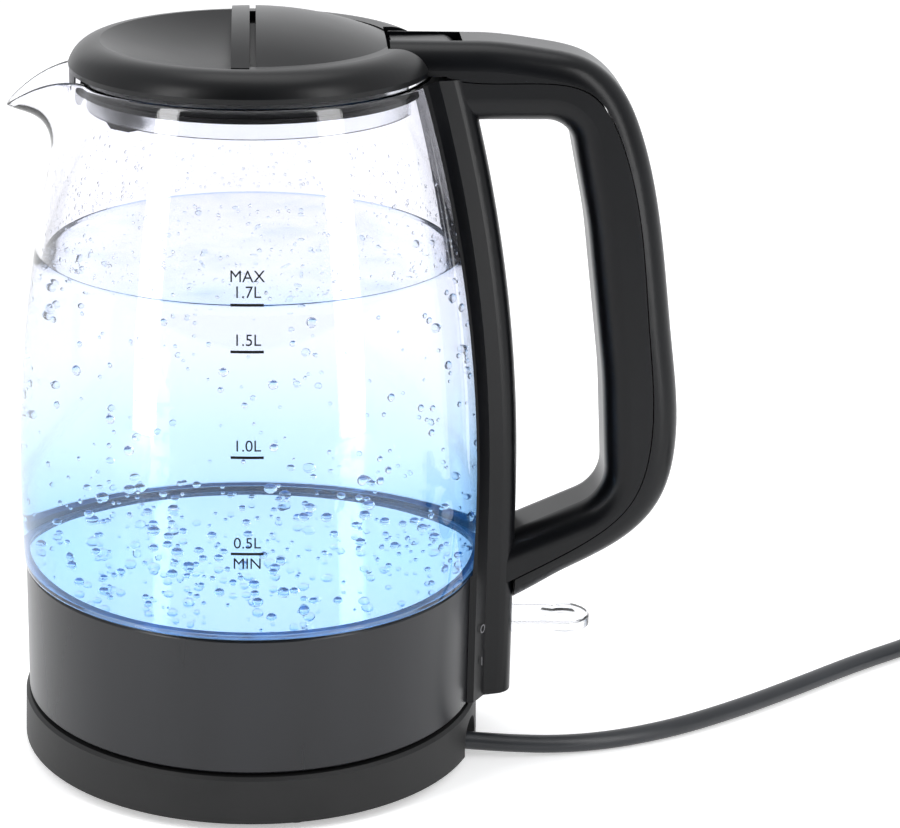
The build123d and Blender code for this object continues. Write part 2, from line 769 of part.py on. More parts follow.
with BuildPart() as handle_inner_shell:
    add(handle_loop.part)
    add(inner_side, mode=Mode.SUBTRACT)
    add(column_solid)
    add(jug_clearance.part, mode=Mode.SUBTRACT)
    with BuildSketch(Plane.XZ):
        with Locations((70.0, 120.0)):
            Rectangle(60.0, 172.0)
    column_room = extrude(amount=30, both=True, mode=Mode.PRIVATE)
    add(column_cavity & column_room, mode=Mode.SUBTRACT)
    with BuildSketch(Plane.YZ.offset(72)):
        with Locations((0, sum(COLLAR_WINDOW_Z) / 2)):
            Rectangle(18.0, COLLAR_WINDOW_Z[1] - COLLAR_WINDOW_Z[0])
    extrude(amount=8, mode=Mode.SUBTRACT)
    with BuildSketch(Plane.YZ.offset(76)):
        with Locations((0, sum(LEVER_SLOT_Z) / 2)):
            Rectangle(2 * LEVER_HALF_WIDTH + 1.2, LEVER_SLOT_Z[1] - LEVER_SLOT_Z[0])
    extrude(amount=16, mode=Mode.SUBTRACT)
    with BuildSketch(Plane.YZ.offset(80.6)):
        with Locations((0, HANDLE_SCREW_Z)):
            Circle(3.5)
    extrude(amount=10, mode=Mode.SUBTRACT)
    with BuildSketch(Plane.YZ.offset(70)):
        with Locations((0, HANDLE_SCREW_Z)):
            Circle(SCREW_R + RUNNING_GAP)
    extrude(amount=12, mode=Mode.SUBTRACT)
    with BuildSketch(Plane.XZ):
        with Locations((LEVER_PIVOT_X, LEVER_PIVOT_Z)):
            Circle(1.5)
    extrude(amount=12.6, both=True, mode=Mode.SUBTRACT)
handle_inner_shell.part.label = "handle_inner_shell"
export_step(handle_inner_shell.part, "parts/handle_inner_shell.step")

with BuildPart() as handle_screw:
    with BuildSketch(Plane.YZ.offset(80.6)):
        with Locations((0, HANDLE_SCREW_Z)):
            Circle(2.9)
    extrude(amount=2.0)
    with BuildSketch(Plane.YZ.offset(68.0)):
        with Locations((0, HANDLE_SCREW_Z)):
            Circle(SCREW_R)
    extrude(amount=12.6)
    with BuildSketch(Plane.YZ.offset(81.4)):
        with Locations((0, HANDLE_SCREW_Z)):
            Rectangle(3.4, 0.7)
            Rectangle(0.7, 3.4)
    extrude(amount=2.0, mode=Mode.SUBTRACT)
handle_screw.part.label = "handle_screw"
export_step(handle_screw.part, "parts/handle_screw.step")

STEAM_TUBE_R = 2.3
steam_poles = jug_curve(GLASS_BELLY_Z, 205.0, COLUMN_DEPTH - 5.2)

with BuildPart() as steam_tube:
    with BuildLine(Plane.XZ) as steam_line:
        Line((steam_poles[0][0], 50.0), steam_poles[0])
        Bezier(*steam_poles)
    with BuildSketch(Plane.XY.offset(50.0)):
        with Locations((steam_poles[0][0], 0)):
            Circle(STEAM_TUBE_R)
            Circle(STEAM_TUBE_R - 0.8, mode=Mode.SUBTRACT)
    sweep(path=steam_line.wires()[0])
steam_tube.part.label = "steam_tube"
export_step(steam_tube.part, "parts/steam_tube.step")

with BuildPart() as lid_hinge_pin:
    with BuildSketch(Plane.XZ):
        with Locations((HINGE_X, HINGE_Z)):
            Circle(HINGE_PIN_R)
    extrude(amount=12.4, both=True)
lid_hinge_pin.part.label = "lid_hinge_pin"
export_step(lid_hinge_pin.part, "parts/lid_hinge_pin.step")

# --- lid ----------------------------------------------------------------------------------
dome_rise = LID_DOME_TOP - LID_RIM_TOP + 0.4
dome_edge = (LID_CAP_R, LID_RIM_TOP - 0.4)


def arc_middle(radius, rise, fraction):
    """Height lost at a fraction of the way out on a circular arc with this chord and rise."""
    sphere_r = (radius**2 + rise**2) / (2 * rise)
    return sphere_r - math.sqrt(sphere_r**2 - (radius * fraction) ** 2)


def dome_solid(lower, floor):
    """Solid under the lid's dome, lowered by lower and cut off at the height floor."""
    half_drop = arc_middle(LID_CAP_R, dome_rise, 0.5)
    with BuildPart() as dome:
        with BuildSketch(Plane.XZ):
            with BuildLine():
                ThreePointArc(
                    (0, LID_DOME_TOP - lower),
                    (LID_CAP_R / 2, LID_DOME_TOP - half_drop - lower),
                    (LID_CAP_R, dome_edge[1] - lower),
                )
                Polyline((LID_CAP_R, dome_edge[1] - lower), (LID_CAP_R, floor), (0, floor), (0, LID_DOME_TOP - lower))
            make_face()
        revolve(axis=Axis.Z)
    return dome.part


lid_dome = dome_solid(0.0, 226.0)
cap_dome = dome_solid(0.0, LID_RIM_TOP - 2.6)
cap_hollow = dome_solid(2.4, LID_RIM_TOP - 4.0)

DISH_FLOOR = LID_RIM_TOP - LID_DISH_DEPTH
DISH_WALL = 2.0
dish_sphere_r = (LID_DISH_R**2 + LID_DISH_DEPTH**2) / (2 * LID_DISH_DEPTH)
NOTCH_X = SHROUD_FRONT - 1.0
NOTCH_HALF_WIDTH = SHROUD_HALF_WIDTH + 0.8
LIP_REACH = 54.2
SEAT_Z = LID_RIM_TOP - 3.0

def dish_point(x, depth):
    """Point of the lid's spherical dish at distance x from the axis, depth below its surface."""
    centre_z = DISH_FLOOR + dish_sphere_r
    return (x, centre_z - math.sqrt((dish_sphere_r + depth) ** 2 - x**2))


with BuildPart() as lid_shell:
    with BuildSketch(Plane.XZ):
        with BuildLine():
            ThreePointArc(dish_point(0, 0), dish_point(LID_DISH_R / 2, 0), dish_point(LID_DISH_R, 0))
            ThreePointArc(dish_point(LID_DISH_R, 0), (54.2, 232.9), (LID_R + 0.3, 228.6))
            Polyline(
                (LID_R + 0.3, 228.6),
                (LID_R, LID_BOTTOM),
                (LID_R - 2.0, LID_BOTTOM),
                (LID_R - 3.4, 229.4),
                dish_point(LID_DISH_R, DISH_WALL),
            )
            ThreePointArc(
                dish_point(LID_DISH_R, DISH_WALL),
                dish_point(LID_DISH_R / 2, DISH_WALL),
                dish_point(0, DISH_WALL),
            )
            Line(dish_point(0, DISH_WALL), dish_point(0, 0))
        make_face()
    revolve(axis=Axis.Z)
    with BuildSketch(Plane.XY.offset(226.0)):
        with Locations((sum(BAR_X) / 2, 0)):
            Rectangle(BAR_X[1] - BAR_X[0], 2 * LID_DISH_R)
    bar_block = extrude(amount=30, mode=Mode.PRIVATE)
    add(lid_dome & bar_block)
    with BuildSketch(Plane.XY.offset(SEAT_Z - 2.0)):
        Circle(LID_DISH_R + 0.8)
        Circle(LID_CAP_R - 5.0, mode=Mode.SUBTRACT)
        with Locations((-30 + BAR_X[1], 0)):
            Rectangle(60, 120, mode=Mode.SUBTRACT)
    extrude(amount=LID_RIM_TOP - SEAT_Z + 2.0)
    with BuildSketch(Plane.XY.offset(SEAT_Z)):
        Circle(LID_CAP_R + 0.25)
        with Locations((-30 + BAR_X[1], 0)):
            Rectangle(60, 120, mode=Mode.SUBTRACT)
    extrude(amount=20, mode=Mode.SUBTRACT)
    with BuildSketch(Plane.XY.offset(215)):
        with Locations((NOTCH_X + 15, 0)):
            Rectangle(30, 2 * NOTCH_HALF_WIDTH)
    extrude(amount=40, mode=Mode.SUBTRACT)
    with BuildSketch(Plane.XZ):
        with BuildLine():
            Polyline(
                (35.0, 229.6),
                (37.0, SEAT_Z - 0.4),
                (NOTCH_X + 0.1, SEAT_Z - 0.4),
                (NOTCH_X + 1.6, 235.2),
                (HINGE_X, HINGE_Z + HINGE_EYE_R),
                (HINGE_X, HINGE_Z - HINGE_EYE_R),
                (NOTCH_X, 227.2),
                (35.0, 227.2),
                close=True,
            )
        make_face()
        with Locations((HINGE_X, HINGE_Z)):
            Circle(HINGE_EYE_R)
    extrude(amount=HINGE_ARM_HALF_WIDTH, both=True)
    with BuildSketch(Plane.XZ):
        with Locations((HINGE_X, HINGE_Z)):
            Circle(HINGE_PIN_R + RUNNING_GAP)
    extrude(amount=20, both=True, mode=Mode.SUBTRACT)
    with BuildSketch(Plane.XY.offset(222.3)):
        Circle(LID_R)
        Circle(LID_R - 1.9, mode=Mode.SUBTRACT)
        with Locations((60.0 - LIP_REACH, 0)):
            Rectangle(120.0, 120.0, mode=Mode.SUBTRACT)
    extrude(amount=LID_BOTTOM + 1.0 - 222.3)
lid_shell.part.label = "lid_shell"
export_step(lid_shell.part, "parts/lid_shell.step")

with BuildPart() as lid_cap:
    add(cap_dome - cap_hollow)
    split(bisect_by=Plane.YZ.offset(CAP_X), keep=Keep.TOP)
    with BuildSketch(Plane.XY.offset(215)):
        with Locations((NOTCH_X + 15, 0)):
            Rectangle(30, 2 * NOTCH_HALF_WIDTH)
    extrude(amount=40, mode=Mode.SUBTRACT)
lid_cap.part.label = "lid_cap"
export_step(lid_cap.part, "parts/lid_cap.step")

SKIRT_R = 51.2
SKIRT_BOTTOM = 215.2

with BuildPart() as lid_skirt:
    with BuildSketch(Plane.XY.offset(SKIRT_BOTTOM)):
        Circle(SKIRT_R)
        Circle(SKIRT_R - 1.6, mode=Mode.SUBTRACT)
        with Locations((NOTCH_X - 0.4 + 15, 0)):
            Rectangle(30, 2 * NOTCH_HALF_WIDTH, mode=Mode.SUBTRACT)
    extrude(amount=229.3 - SKIRT_BOTTOM)
lid_skirt.part.label = "lid_skirt"
export_step(lid_skirt.part, "parts/lid_skirt.step")

with BuildPart() as lid_seal:
    with BuildSketch(Plane.XY.offset(220.4)):
        Circle(SKIRT_R + 2.0)
        Circle(SKIRT_R + 0.1, mode=Mode.SUBTRACT)
        with Locations((NOTCH_X - 0.4 + 15, 0)):
            Rectangle(30, 2 * NOTCH_HALF_WIDTH, mode=Mode.SUBTRACT)
    extrude(amount=1.4)
lid_seal.part.label = "lid_seal"
export_step(lid_seal.part, "parts/lid_seal.step")

LID_PLATE_Z = 219.8

with BuildPart() as lid_inner_plate:
    with BuildSketch(Plane.XY.offset(LID_PLATE_Z)):
        Circle(SKIRT_R - 1.7)
        with Locations((NOTCH_X - 0.4 + 15, 0)):
            Rectangle(30, 2 * NOTCH_HALF_WIDTH, mode=Mode.SUBTRACT)
        with PolarLocations(30, 3, start_angle=90):
            Circle(1.35, mode=Mode.SUBTRACT)
    extrude(amount=1.6)
lid_inner_plate.part.label = "lid_inner_plate"
export_step(lid_inner_plate.part, "parts/lid_inner_plate.step")

with BuildPart() as lid_screws:
    with BuildSketch(Plane.XY.offset(LID_PLATE_Z - 1.1)):
        with PolarLocations(30, 3, start_angle=90):
            Circle(2.4)
    extrude(amount=1.1)
    with BuildSketch(Plane.XY.offset(LID_PLATE_Z)):
        with PolarLocations(30, 3, start_angle=90):
            Circle(1.3)
    extrude(amount=6.0)
lid_screws.part.label = "lid_screws"
export_step(lid_screws.part, "parts/lid_screws.step")

with BuildPart() as lid_latch:
    with BuildSketch(Plane.XZ):
        with BuildLine():
            Polyline(
                (-47.8, LID_PLATE_Z - 0.1),
                (-47.8, 215.6),
                (-43.5, 208.6),
                (-38.0, 207.4),
                (-33.2, 208.4),
                (-33.2, LID_PLATE_Z - 0.1),
                close=True,
            )
        make_face()
    extrude(amount=8.0, both=True)
    fillet(lid_latch.edges().filter_by(Axis.Y).group_by(Axis.Z)[0], 1.0)
lid_latch.part.label = "lid_latch"
export_step(lid_latch.part, "parts/lid_latch.step")

with BuildPart() as lid_latch_window:
    with BuildSketch(Plane.XZ):
        with BuildLine():
            Polyline(
                (-33.1, LID_PLATE_Z - 0.1),
                (-33.1, 208.8),
                (-29.6, 210.8),
                (-29.0, LID_PLATE_Z - 0.1),
                close=True,
            )
        make_face()
    extrude(amount=8.0, both=True)
lid_latch_window.part.label = "lid_latch_window"
export_step(lid_latch_window.part, "parts/lid_latch_window.step")

# --- switch lever and trip rocker ---------------------------------------------------------
PADDLE_Z = 40.5

with BuildPart() as switch_lever:
    with BuildSketch(Plane.XY.offset(PADDLE_Z - LEVER_THICKNESS / 2)):
        with Locations(((LEVER_PIVOT_X + LEVER_TIP_X - LEVER_HALF_WIDTH) / 2, 0)):
            Rectangle(LEVER_TIP_X - LEVER_HALF_WIDTH - LEVER_PIVOT_X, 2 * LEVER_HALF_WIDTH - 1.0)
        with Locations((LEVER_TIP_X - LEVER_HALF_WIDTH, 0)):
            Circle(LEVER_HALF_WIDTH)
    extrude(amount=LEVER_THICKNESS)
    fillet(switch_lever.edges().group_by(Axis.Z)[-1], 1.0)
    fillet(switch_lever.edges().group_by(Axis.Z)[0], 0.8)
    with BuildSketch(Plane.XZ):
        with Locations((LEVER_PIVOT_X, LEVER_PIVOT_Z)):
            Circle(3.4)
        with Locations((LEVER_PIVOT_X - 4.0, LEVER_PIVOT_Z)):
            Rectangle(7.6, 3.0)
    extrude(amount=5.0, both=True)
    with BuildSketch(Plane.XZ):
        with Locations((LEVER_PIVOT_X, LEVER_PIVOT_Z)):
            Circle(1.5 + RUNNING_GAP)
    extrude(amount=20, both=True, mode=Mode.SUBTRACT)
    with Locations((LEVER_TIP_X - 10.5, 0, PADDLE_Z + LEVER_THICKNESS / 2 + 13.4)):
        Sphere(14.6, mode=Mode.SUBTRACT)
switch_lever.part.label = "switch_lever"
export_step(switch_lever.part, "parts/switch_lever.step")

with BuildPart() as lever_pivot_pin:
    with BuildSketch(Plane.XZ):
        with Locations((LEVER_PIVOT_X, LEVER_PIVOT_Z)):
            Circle(1.5)
    extrude(amount=12.5, both=True)
lever_pivot_pin.part.label = "lever_pivot_pin"
export_step(lever_pivot_pin.part, "parts/lever_pivot_pin.step")

with BuildPart() as trip_rocker:
    with BuildSketch(Plane.XZ):
        with Locations((ROCKER_PIVOT_X, LEVER_PIVOT_Z)):
            Circle(2.8)
        with Locations((ROCKER_PIVOT_X + 1.0, LEVER_PIVOT_Z)):
            Rectangle(13.4, 2.4)
    extrude(amount=5.2, both=True)
    with BuildSketch(Plane.XZ):
        with Locations((ROCKER_PIVOT_X, LEVER_PIVOT_Z)):
            Circle(1.2 + RUNNING_GAP)
    extrude(amount=20, both=True, mode=Mode.SUBTRACT)
trip_rocker.part.label = "trip_rocker"
export_step(trip_rocker.part, "parts/trip_rocker.step")

with BuildPart() as rocker_pin:
    with BuildSketch(Plane.XZ):
        with Locations((ROCKER_PIVOT_X, LEVER_PIVOT_Z)):
            Circle(1.2)
    extrude(amount=8.8, both=True)
rocker_pin.part.label = "rocker_pin"
export_step(rocker_pin.part, "parts/rocker_pin.step")
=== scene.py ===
import math
import random

import bmesh
import bpy
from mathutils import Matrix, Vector, noise


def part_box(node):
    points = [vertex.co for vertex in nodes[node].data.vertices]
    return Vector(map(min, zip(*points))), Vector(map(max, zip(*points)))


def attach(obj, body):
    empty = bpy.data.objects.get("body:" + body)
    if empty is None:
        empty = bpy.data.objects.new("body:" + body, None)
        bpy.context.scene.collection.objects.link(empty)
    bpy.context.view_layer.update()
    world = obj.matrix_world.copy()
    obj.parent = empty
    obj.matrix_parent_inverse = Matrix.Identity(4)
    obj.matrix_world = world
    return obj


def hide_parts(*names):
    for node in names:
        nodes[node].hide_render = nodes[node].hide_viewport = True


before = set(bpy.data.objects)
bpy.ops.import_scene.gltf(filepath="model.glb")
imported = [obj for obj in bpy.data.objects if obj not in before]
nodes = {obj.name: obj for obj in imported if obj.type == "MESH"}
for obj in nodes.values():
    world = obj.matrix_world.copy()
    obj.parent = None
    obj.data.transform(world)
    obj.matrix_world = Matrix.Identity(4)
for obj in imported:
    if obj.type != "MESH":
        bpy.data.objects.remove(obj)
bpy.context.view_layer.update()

# Electric kettle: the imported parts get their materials, and the glass, the water, the printed
# marks and the cord are built here. Lengths are in metres unless a name ends in _mm.

MM = 0.001
scene = bpy.context.scene

# ------------------------------------------------------------------ camera, world and lights

CAMERA_PLACE = (0.0, -0.844, 0.405)
CAMERA_TILT = math.radians(71.0)
SENSOR_WIDTH_MM = 36.0
LENS_MM = 110.1
SHIFT = (0.2209, -0.0074)

camera_data = bpy.data.cameras.new("camera")
camera = bpy.data.objects.new("camera", camera_data)
scene.collection.objects.link(camera)
camera.location = CAMERA_PLACE
camera.rotation_euler = (CAMERA_TILT, 0.0, 0.0)
camera_data.sensor_width = SENSOR_WIDTH_MM
camera_data.lens = LENS_MM
camera_data.shift_x, camera_data.shift_y = SHIFT
camera_data.clip_start = 0.01
scene.camera = camera
scene.view_settings.view_transform = "Standard"

world = bpy.data.worlds.new("studio")
world.use_nodes = True
scene.world = world

# The studio is white behind and beside the kettle, and dark on the camera's side, so that the
# black mouldings and the collar keep their dark middle.
ROOM_WHITE = (0.97, 0.98, 1.0, 1.0)
ROOM_FRONT = 0.06
ROOM_BACK = 0.95
BACKDROP = 1.0
world_tree = world.node_tree
direction = world_tree.nodes.new("ShaderNodeTexCoord")
axes = world_tree.nodes.new("ShaderNodeSeparateXYZ")
toward_back = world_tree.nodes.new("ShaderNodeMapRange")
toward_back.interpolation_type = "SMOOTHSTEP"
toward_back.inputs["From Min"].default_value = -0.9
toward_back.inputs["From Max"].default_value = 0.1
toward_back.inputs["To Min"].default_value = ROOM_FRONT
toward_back.inputs["To Max"].default_value = ROOM_BACK
world_tree.links.new(direction.outputs["Generated"], axes.inputs["Vector"])
world_tree.links.new(axes.outputs["Y"], toward_back.inputs["Value"])
room_light = world_tree.nodes["Background"]
room_light.inputs["Color"].default_value = ROOM_WHITE
world_tree.links.new(toward_back.outputs["Result"], room_light.inputs["Strength"])
backdrop = world_tree.nodes.new("ShaderNodeBackground")
backdrop.inputs["Color"].default_value = (1.0, 1.0, 1.0, 1.0)
backdrop.inputs["Strength"].default_value = BACKDROP
ray = world_tree.nodes.new("ShaderNodeLightPath")
seen_or_lit = world_tree.nodes.new("ShaderNodeMixShader")
world_tree.links.new(ray.outputs["Is Camera Ray"], seen_or_lit.inputs["Fac"])
world_tree.links.new(room_light.outputs["Background"], seen_or_lit.inputs[1])
world_tree.links.new(backdrop.outputs["Background"], seen_or_lit.inputs[2])
world_tree.links.new(seen_or_lit.outputs["Shader"], world_tree.nodes["World Output"].inputs["Surface"])


def softbox(name, place, aim, width, height, power):
    """Rectangular area light at place, facing aim."""
    data = bpy.data.lights.new(name, "AREA")
    data.shape = "RECTANGLE"
    data.size = width
    data.size_y = height
    data.energy = power
    light = bpy.data.objects.new(name, data)
    scene.collection.objects.link(light)
    light.location = place
    light.rotation_euler = (Vector(aim) - Vector(place)).to_track_quat("-Z", "Y").to_euler()


softbox("softbox_left", (-0.44, -0.36, 0.33), (0.0, 0.0, 0.12), 0.13, 0.70, 2.2)
softbox("softbox_right", (0.42, -0.38, 0.33), (0.0, 0.0, 0.12), 0.15, 0.70, 1.9)
softbox("softbox_top", (0.05, 0.15, 1.10), (0.0, 0.0, 0.1), 0.7, 0.5, 2.2)
softbox("softbox_back", (0.1, 0.95, 0.55), (0.0, 0.0, 0.15), 1.6, 0.9, 2.0)

# ------------------------------------------------------------------ material building


def new_material(name):
    material = bpy.data.materials.new(name)
    material.use_nodes = True
    tree = material.node_tree
    shader = tree.nodes["Principled BSDF"]
    return material, tree, shader


def object_noise(tree, scale, detail=3.0, stretch=(1.0, 1.0, 1.0)):
    """Noise texture in the object's own coordinates, in features per metre."""
    coords = tree.nodes.new("ShaderNodeTexCoord")
    mapping = tree.nodes.new("ShaderNodeMapping")
    mapping.inputs["Scale"].default_value = stretch
    texture = tree.nodes.new("ShaderNodeTexNoise")
    texture.inputs["Scale"].default_value = scale
    texture.inputs["Detail"].default_value = detail
    tree.links.new(coords.outputs["Object"], mapping.inputs["Vector"])
    tree.links.new(mapping.outputs["Vector"], texture.inputs["Vector"])
    return texture


def ramp_between(tree, source, low, high, start=0.3, end=0.7):
    ramp = tree.nodes.new("ShaderNodeValToRGB")
    ramp.color_ramp.elements[0].position = start
    ramp.color_ramp.elements[0].color = (*low, 1.0)
    ramp.color_ramp.elements[1].position = end
    ramp.color_ramp.elements[1].color = (*high, 1.0)
    tree.links.new(source, ramp.inputs["Fac"])
    return ramp.outputs["Color"]


def spread(tree, source, low, high):
    """Maps a 0 to 1 value onto a range."""
    node = tree.nodes.new("ShaderNodeMapRange")
    node.inputs["To Min"].default_value = low
    node.inputs["To Max"].default_value = high
    tree.links.new(source, node.inputs["Value"])
    return node.outputs["Result"]


def bump(tree, source, strength, distance_mm):
    node = tree.nodes.new("ShaderNodeBump")
    node.inputs["Strength"].default_value = strength
    node.inputs["Distance"].default_value = distance_mm * MM
    tree.links.new(source, node.inputs["Height"])
    return node.outputs["Normal"]


def moulded(
    name,
    colour,
    tone=1.25,
    roughness=(0.28, 0.36),
    grain=2200.0,
    grain_mm=0.02,
    specular=0.5,
    metallic=0.0,
    cloud=45.0,
    stretch=(1.0, 1.0, 1.0),
):
    """Moulded or coated surface: slight tone clouds, uneven gloss and a fine grain."""
    material, tree, shader = new_material(name)
    clouds = object_noise(tree, cloud, 4.0, stretch)
    fine = object_noise(tree, grain, 2.0, stretch)
    darker = tuple(c / tone for c in colour)
    lighter = tuple(min(1.0, c * tone) for c in colour)
    tree.links.new(ramp_between(tree, clouds.outputs["Fac"], darker, lighter), shader.inputs["Base Color"])
    tree.links.new(spread(tree, clouds.outputs["Fac"], *roughness), shader.inputs["Roughness"])
    tree.links.new(bump(tree, fine.outputs["Fac"], 0.35, grain_mm), shader.inputs["Normal"])
    shader.inputs["Specular IOR Level"].default_value = specular
    shader.inputs["Metallic"].default_value = metallic
    return material


def clear(name, colour=(1.0, 1.0, 1.0), ior=1.45, roughness=(0.0, 0.02), ripple_scale=60.0, ripple_mm=0.02):
    """Clear glass or plastic with faint ripples."""
    material, tree, shader = new_material(name)
    ripples = object_noise(tree, ripple_scale, 2.0)
    shader.inputs["Base Color"].default_value = (*colour, 1.0)
    shader.inputs["Transmission Weight"].default_value = 1.0
    shader.inputs["IOR"].default_value = ior
    tree.links.new(spread(tree, ripples.outputs["Fac"], *roughness), shader.inputs["Roughness"])
    tree.links.new(bump(tree, ripples.outputs["Fac"], 0.15, ripple_mm), shader.inputs["Normal"])
    return material


black = moulded("black_semi_gloss", (0.0022, 0.0025, 0.0034), roughness=(0.26, 0.33), specular=0.24)
lid_black = moulded(
    "lid_satin_black",
    (0.0024, 0.0026, 0.0032),
    roughness=(0.30, 0.38),
    specular=0.26,
    grain_mm=0.03,
)
base_grey = moulded(
    "base_matte_grey",
    (0.010, 0.0102, 0.0106),
    roughness=(0.46, 0.56),
    specular=0.3,
    grain=1500.0,
    grain_mm=0.05,
)
collar_grey = moulded(
    "collar_satin",
    (0.0085, 0.0092, 0.0115),
    roughness=(0.25, 0.31),
    metallic=0.2,
    specular=0.5,
    stretch=(1.0, 1.0, 0.15),
    grain_mm=0.015,
)
rubber = moulded("rubber", (0.012, 0.012, 0.012), roughness=(0.65, 0.8), specular=0.3, grain_mm=0.06)
cord_black = moulded(
    "cord_pvc",
    (0.016, 0.018, 0.022),
    roughness=(0.33, 0.42),
    specular=0.5,
    grain=900.0,
    grain_mm=0.03,
)
steel = moulded("screw_steel", (0.50, 0.50, 0.52), roughness=(0.22, 0.38), metallic=1.0, grain=3000.0)
brass = moulded("contact_brass", (0.72, 0.52, 0.24), roughness=(0.2, 0.34), metallic=1.0, grain=3000.0)
nickel = moulded(
    "pin_nickel",
    (0.66, 0.65, 0.62),
    roughness=(0.12, 0.22),
    metallic=1.0,
    grain=3000.0,
    grain_mm=0.01,
)
aluminium = moulded(
    "spreader_aluminium",
    (0.62, 0.62, 0.64),
    roughness=(0.4, 0.55),
    metallic=1.0,
    grain=800.0,
    grain_mm=0.1,
)
board_green = moulded("board_green", (0.02, 0.13, 0.05), roughness=(0.3, 0.45), grain=600.0, grain_mm=0.05)
control_white = moulded(
    "control_moulding",
    (0.62, 0.60, 0.55),
    roughness=(0.4, 0.52),
    grain=1200.0,
    grain_mm=0.04,
)
wire_red = moulded("wire_sleeve", (0.35, 0.03, 0.02), roughness=(0.4, 0.5), grain=900.0)
silicone = clear("silicone_clear", (0.86, 0.92, 1.0), 1.41, (0.25, 0.4), 300.0, 0.1)
jug_glass = clear("jug_glass", (0.93, 0.93, 0.97), 1.47, (0.0, 0.012))
clear_plastic = clear("clear_plastic", (0.86, 0.87, 0.90), 1.49, (0.02, 0.07), 180.0, 0.05)
skirt_plastic = clear("skirt_frosted", (0.95, 0.96, 0.98), 1.35, (0.15, 0.3), 180.0, 0.05)
print_black = moulded(
    "mark_ink",
    (0.004, 0.004, 0.005),
    roughness=(0.5, 0.6),
    specular=0.2,
    grain=4000.0,
    grain_mm=0.005,
)
print_grey = moulded(
    "symbol_ink",
    (0.16, 0.16, 0.17),
    roughness=(0.5, 0.6),
    specular=0.2,
    grain=4000.0,
    grain_mm=0.005,
)


def painted_led_plate_material():
    """Brushed heater plate with painted blue LED light: its blue base colour and its glow in swirls are
    painted, since the plate is no lamp; caustic streaks vary the roughness.
    """
    material, tree, shader = new_material("heater_plate_painted_led_light")
    painted_light_swirl = object_noise(tree, 52.0, 6.0)
    painted_light_swirl.inputs["Distortion"].default_value = 1.6
    streaks = object_noise(tree, 900.0, 2.0, (1.0, 0.05, 1.0))
    # painted blue LED light in the plate's base colour, darker and lighter in swirls
    blues = ramp_between(tree, painted_light_swirl.outputs["Fac"], (0.001, 0.008, 0.05), (0.03, 0.12, 0.34))
    tree.links.new(blues, shader.inputs["Base Color"])
    tree.links.new(spread(tree, streaks.outputs["Fac"], 0.16, 0.34), shader.inputs["Roughness"])
    # painted glow: the plate emits blue light in swirls, though it is no lamp
    painted_glow = tree.nodes.new("ShaderNodeValToRGB")
    painted_glow.color_ramp.elements[0].position = 0.42
    painted_glow.color_ramp.elements[0].color = (0.0, 0.015, 0.07, 1.0)
    painted_glow.color_ramp.elements[1].position = 0.72
    painted_glow.color_ramp.elements[1].color = (0.12, 0.48, 0.95, 1.0)
    tree.links.new(painted_light_swirl.outputs["Fac"], painted_glow.inputs["Fac"])
    tree.links.new(painted_glow.outputs["Color"], shader.inputs["Emission Color"])
    shader.inputs["Emission Strength"].default_value = 0.42
    shader.inputs["Metallic"].default_value = 0.6
    return material


def led_material():
    material, tree, shader = new_material("led_blue")
    core = object_noise(tree, 500.0)
    blues = ramp_between(tree, core.outputs["Fac"], (0.05, 0.25, 1.0), (0.4, 0.7, 1.0))
    tree.links.new(blues, shader.inputs["Emission Color"])
    shader.inputs["Base Color"].default_value = (0.3, 0.6, 1.0, 1.0)
    shader.inputs["Emission Strength"].default_value = 6.0
    return material


def height_value(tree, low, high):
    """0 at the height low, 1 at the height high, in the object's own coordinates."""
    coords = tree.nodes.new("ShaderNodeTexCoord")
    split = tree.nodes.new("ShaderNodeSeparateXYZ")
    node = tree.nodes.new("ShaderNodeMapRange")
    node.inputs["From Min"].default_value = low
    node.inputs["From Max"].default_value = high
    tree.links.new(coords.outputs["Object"], split.inputs["Vector"])
    tree.links.new(split.outputs["Z"], node.inputs["Value"])
    return node.outputs["Result"]


def water_material():
    """Clear water with painted LED light: a blue tint in the base colour and a painted blue glow, both
    strongest at the bottom and fading upward.
    """
    material, tree, shader = new_material("water")
    height = height_value(tree, 0.062, 0.1695)
    ripples = object_noise(tree, 70.0, 3.0)
    # painted blue LED light in the water's colour by height, plus a painted darker blue band at the meniscus
    # along the top
    painted_led_tint = tree.nodes.new("ShaderNodeValToRGB")
    stops = painted_led_tint.color_ramp.elements
    stops[0].position, stops[0].color = 0.0, (0.22, 0.52, 0.90, 1.0)
    stops[1].position, stops[1].color = 0.9985, (0.45, 0.58, 0.82, 1.0)
    for place, colour in ((0.22, (0.42, 0.74, 0.98)), (0.52, (0.84, 0.93, 1.0)), (0.99, (0.90, 0.91, 0.97))):
        stops.new(place).color = (*colour, 1.0)
    tree.links.new(height, painted_led_tint.inputs["Fac"])
    tree.links.new(painted_led_tint.outputs["Color"], shader.inputs["Base Color"])
    # painted glow: the water emits blue at the bottom, fading out by mid height
    painted_glow = tree.nodes.new("ShaderNodeValToRGB")
    stops = painted_glow.color_ramp.elements
    stops[0].position, stops[0].color = 0.0, (0.02, 0.22, 0.62, 1.0)
    stops[1].position, stops[1].color = 0.55, (0.0, 0.0, 0.0, 1.0)
    middle = stops.new(0.28)
    middle.color = (0.01, 0.12, 0.30, 1.0)
    tree.links.new(height, painted_glow.inputs["Fac"])
    tree.links.new(painted_glow.outputs["Color"], shader.inputs["Emission Color"])
    shader.inputs["Emission Strength"].default_value = 0.10
    shader.inputs["Transmission Weight"].default_value = 1.0
    shader.inputs["Roughness"].default_value = 0.0
    shader.inputs["IOR"].default_value = 1.08
    tree.links.new(bump(tree, ripples.outputs["Fac"], 0.12, 0.4), shader.inputs["Normal"])
    return material


